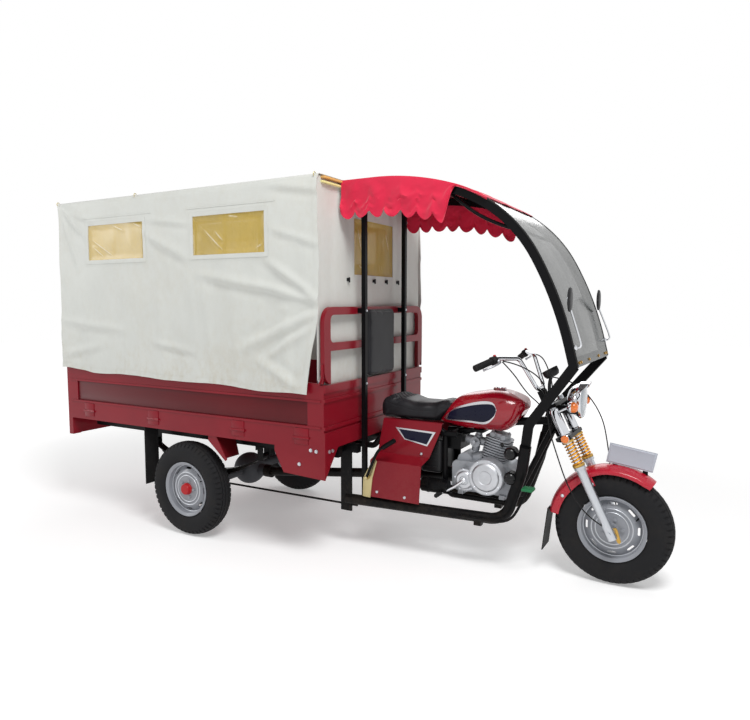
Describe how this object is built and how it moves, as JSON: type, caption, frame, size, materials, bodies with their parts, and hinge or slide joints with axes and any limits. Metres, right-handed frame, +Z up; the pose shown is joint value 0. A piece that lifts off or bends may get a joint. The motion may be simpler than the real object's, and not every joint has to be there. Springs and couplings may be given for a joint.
{
  "type": "covered motor cargo tricycle",
  "caption": "Motor cargo tricycle with a sprung fork, saddle and tank, a canvas-covered load box with a drop tailgate, and a cloth driver canopy with a curved windscreen.",
  "frame": {"origin": "on the ground at the middle of the overall length and width", "axes": "+X forward, +Y to the rider's left, +Z up"},
  "size_m": [3.73, 1.196, 2.054],
  "materials": {
    "black_paint": "gloss",
    "maroon_paint": "gloss",
    "pink_red_paint": "gloss",
    "canvas": "matt woven",
    "red_cloth": "matt",
    "yellow_film": "clear film",
    "clear_screen": "tinted",
    "tyre": "matt",
    "rubber": "matt",
    "silver_steel": "satin",
    "engine_alloy": "cast",
    "black_engine": "matt",
    "chrome": "mirror",
    "vinyl": "soft",
    "tank_red": "gloss",
    "spring_gold": "plated",
    "amber": "clear",
    "red_lens": "clear",
    "plate_white": "satin",
    "mirror_black": "matt"
  },
  "bodies": {
    "chassis": {"chassis_frame": "black_paint", "side_guards": "black_paint", "engine_case": "engine_alloy", "engine_cylinder": "engine_alloy", "exhaust": "chrome", "fuel_tank": "tank_red", "seat": "vinyl", "side_panels": "maroon_paint", "driver_controls": "silver_steel", "drive_shaft": "black_paint", "rear_axle": "black_engine", "leaf_springs": "black_paint", "bed_frame": "maroon_paint", "box_front_panel": "maroon_paint", "headboard_frame": "maroon_paint", "backrest_pad": "vinyl", "side_board_right": "maroon_paint", "side_board_left": "maroon_paint", "tail_lamps": "red_lens", "mud_flaps": "rubber", "cover_uprights": "silver_steel", "cover_roof_frame": "silver_steel", "cover_roof": "canvas", "cover_side_right": "canvas", "cover_side_left": "canvas", "cover_front": "canvas", "cover_windows": "yellow_film", "rear_curtain": "canvas", "canopy_frame": "black_paint", "canopy_posts": "black_paint", "windscreen": "clear_screen", "canopy_cloth": "red_cloth", "mirrors": "mirror_black"},
    "tailgate": {"tailgate": "maroon_paint"},
    "steering": {"fork_legs": "silver_steel", "fork_springs": "spring_gold", "fork_yokes": "black_paint", "handlebar": "chrome", "hand_controls": "rubber", "headlamp": "chrome", "turn_signals": "amber", "speedometer": "mirror_black", "front_fender": "pink_red_paint", "number_plate": "plate_white", "control_cables": "rubber"},
    "front_wheel_set": {"front_tyre": "tyre", "front_wheel": "silver_steel"},
    "rear_wheel_right_set": {"rear_tyre_right": "tyre", "rear_wheel_right": "silver_steel"},
    "rear_wheel_left_set": {"rear_tyre_left": "tyre", "rear_wheel_left": "silver_steel"}
  },
  "joints": [
    {"name": "steering_turn", "type": "hinge", "parent": "chassis", "child": "steering", "pos_m": [1.28398, 0, 0.78927], "axis": [-0.4384, 0, 0.8988], "range_deg": [-40, 40]},
    {"name": "front_wheel_spin", "type": "hinge", "parent": "steering", "child": "front_wheel_set", "pos_m": [1.58, 0, 0.285], "axis": [0, 1, 0], "continuous": true},
    {"name": "rear_right_spin", "type": "hinge", "parent": "chassis", "child": "rear_wheel_right_set", "pos_m": [-0.77, -0.535, 0.285], "axis": [0, 1, 0], "continuous": true},
    {"name": "rear_left_spin", "type": "hinge", "parent": "chassis", "child": "rear_wheel_left_set", "pos_m": [-0.77, 0.535, 0.285], "axis": [0, 1, 0], "continuous": true},
    {"name": "tailgate_drop", "type": "hinge", "parent": "chassis", "child": "tailgate", "pos_m": [-1.856, 0, 0.69], "axis": [0, -1, 0], "range_deg": [0, 175]}
  ]
}
